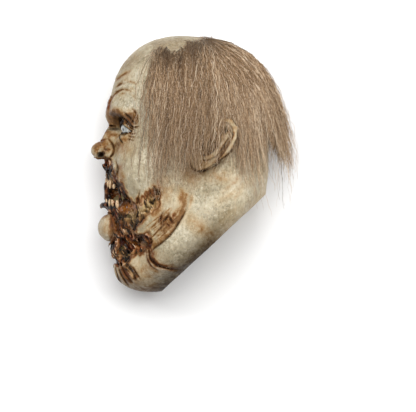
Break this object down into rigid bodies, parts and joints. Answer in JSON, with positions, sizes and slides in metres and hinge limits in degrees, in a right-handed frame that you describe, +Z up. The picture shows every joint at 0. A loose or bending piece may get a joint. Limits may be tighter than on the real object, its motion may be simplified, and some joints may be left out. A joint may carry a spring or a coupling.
{
  "type": "latex zombie mask",
  "caption": "Overhead cast latex zombie mask with torn mouth and jowls, blind glossy eyes and a long hair fringe; hollow, worn over the whole head, lying on its side.",
  "frame": {"origin": "centre of the bounding box's underside, on the plane that the pressed right side rests on", "axes": "+Z up, towards the mask's left side; +X from the crown to the neck opening; -Y the way the face looks"},
  "size_m": [0.3186, 0.2526, 0.1708],
  "materials": {
    "latex": "satin, painted",
    "eye": "gloss",
    "hair": "loose fibre"
  },
  "bodies": {
    "root": {"latex_skin": "latex", "left_eye": "eye", "right_eye": "eye", "hair": "hair"}
  },
  "joints": []
}
